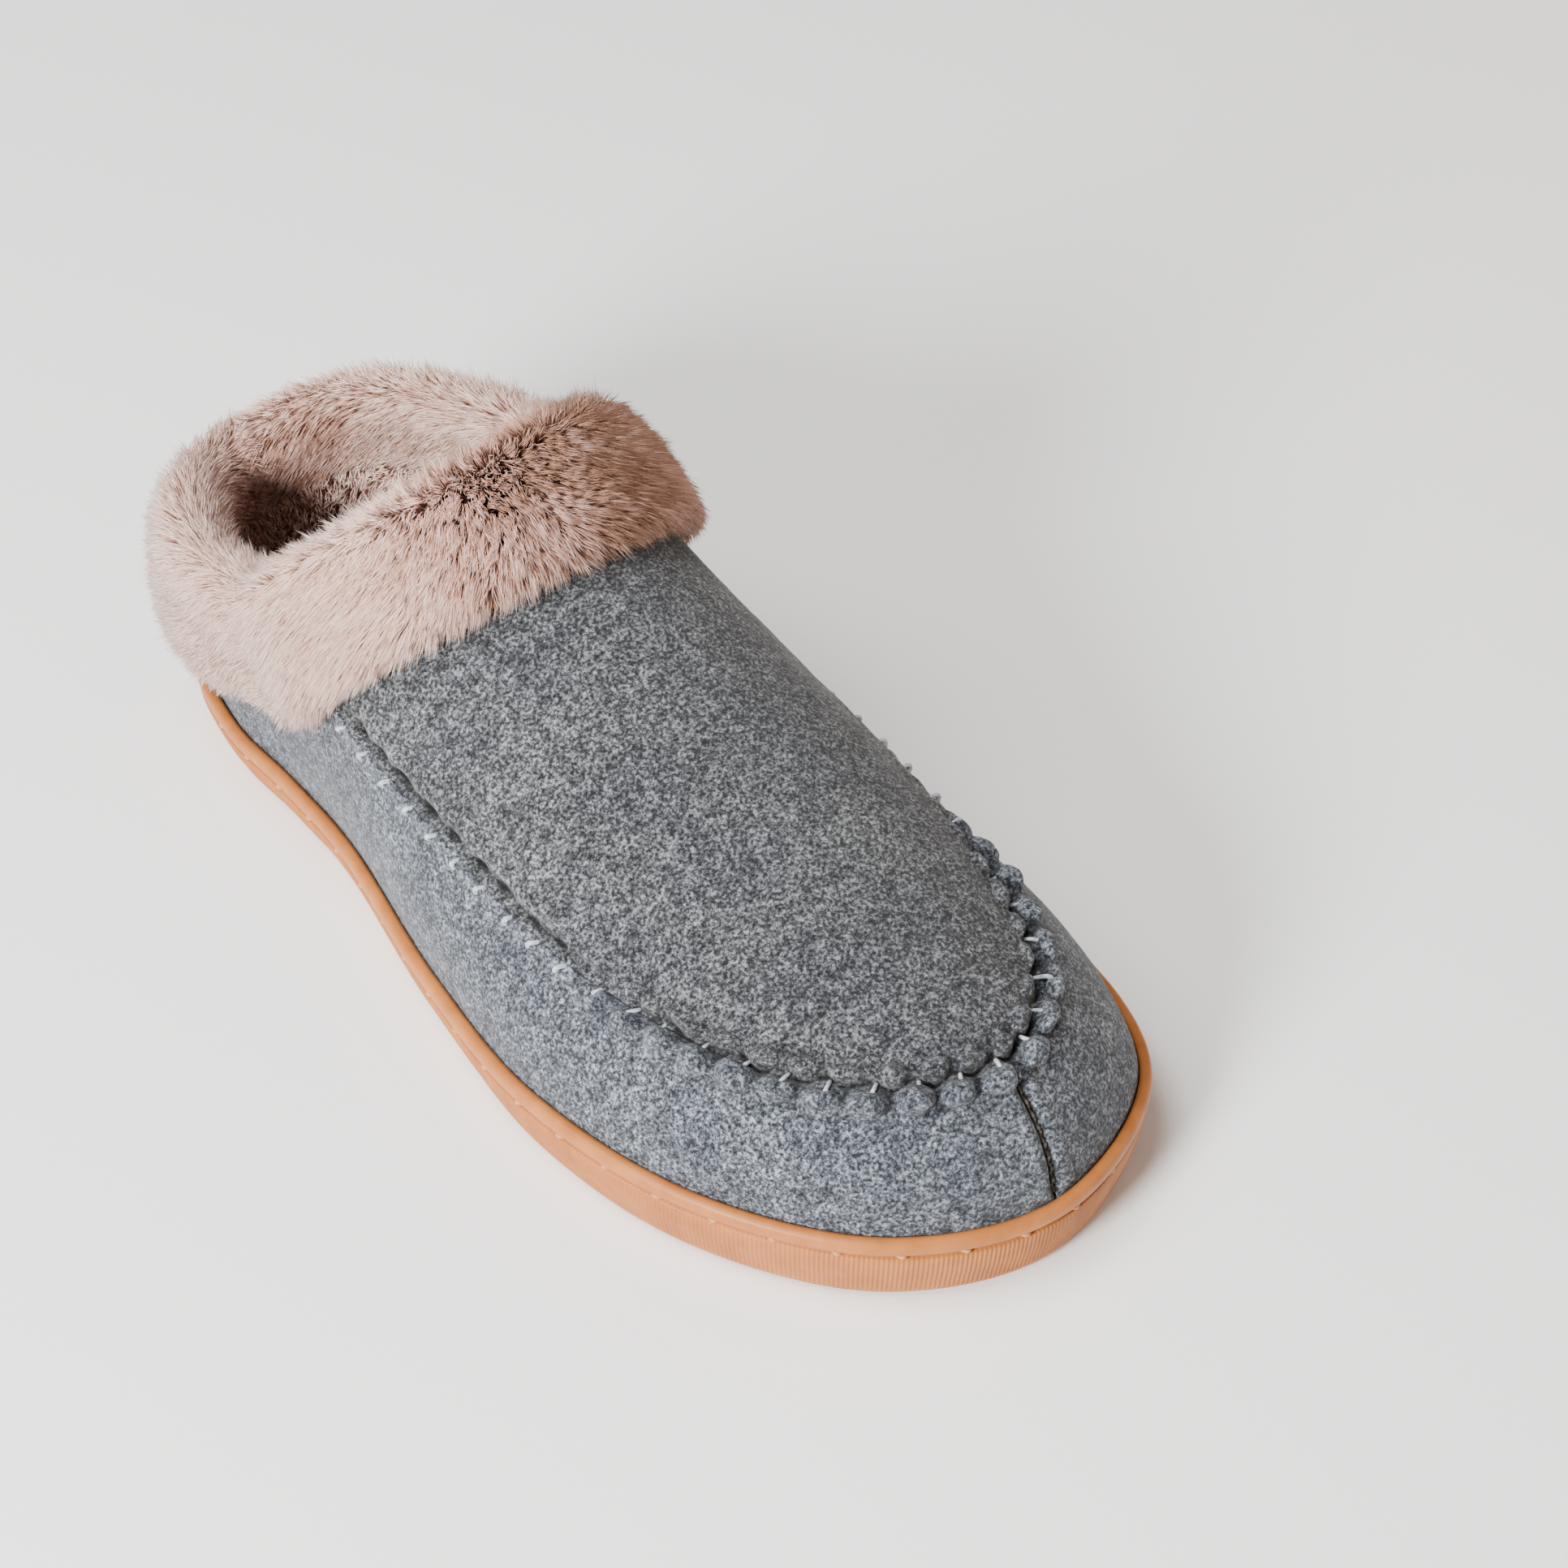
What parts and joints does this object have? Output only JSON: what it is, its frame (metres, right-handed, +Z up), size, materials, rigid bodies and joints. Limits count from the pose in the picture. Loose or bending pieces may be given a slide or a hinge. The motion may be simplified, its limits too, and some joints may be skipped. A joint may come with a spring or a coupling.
{
  "type": "house slipper",
  "caption": "Clog-style house slipper for the right foot: felt moccasin upper with a stitched apron, plush fur cuff and lining, low closed heel and a rubber cup sole.",
  "frame": {"origin": "bottom centre of the bounding box: on the floor under the middle of the slipper", "axes": "+Z up, -Y toward the toe, +Y toward the heel, -X to the outer (lateral) side, +X to the inner (medial) side"},
  "size_m": [0.1256, 0.2928, 0.1169],
  "materials": {
    "rubber_outsole": "satin moulded crepe-look rubber with fine ribs",
    "sole_thread": "waxed cord in the groove",
    "filler_foam": "closed-cell foam",
    "fibre_board": "pressed cellulose board",
    "seam_thread": "matt sewing thread",
    "soft_foam": "open-cell foam",
    "plush_liner": "short plush pile",
    "felt_side": "melange wool felt",
    "felt_apron": "melange wool felt",
    "apron_thread": "thick melange hand-stitching yarn",
    "stiffener": "thermoplastic sheet",
    "plush_lining": "short faux-fur pile",
    "cuff_fur": "dense faux fur, brushed"
  },
  "bodies": {
    "root": {"outsole": "rubber_outsole", "sole_stitch_thread": "sole_thread", "midsole_filler": "filler_foam", "insole_board": "fibre_board", "lasting_seam_thread": "seam_thread", "footbed_foam": "soft_foam", "sock_liner": "plush_liner", "side_panel_lateral": "felt_side", "side_panel_medial": "felt_side", "apron_panel": "felt_apron", "toe_seam_thread": "seam_thread", "back_seam_thread": "seam_thread", "apron_seam_thread": "apron_thread", "toe_stiffener": "stiffener", "heel_counter": "stiffener", "vamp_lining": "plush_lining", "quarter_lining": "plush_lining", "collar_front_fur": "cuff_fur", "collar_back_fur": "cuff_fur", "collar_front_foam": "soft_foam", "collar_back_foam": "soft_foam", "collar_seam_thread_lateral": "seam_thread", "collar_seam_thread_medial": "seam_thread"}
  },
  "joints": []
}
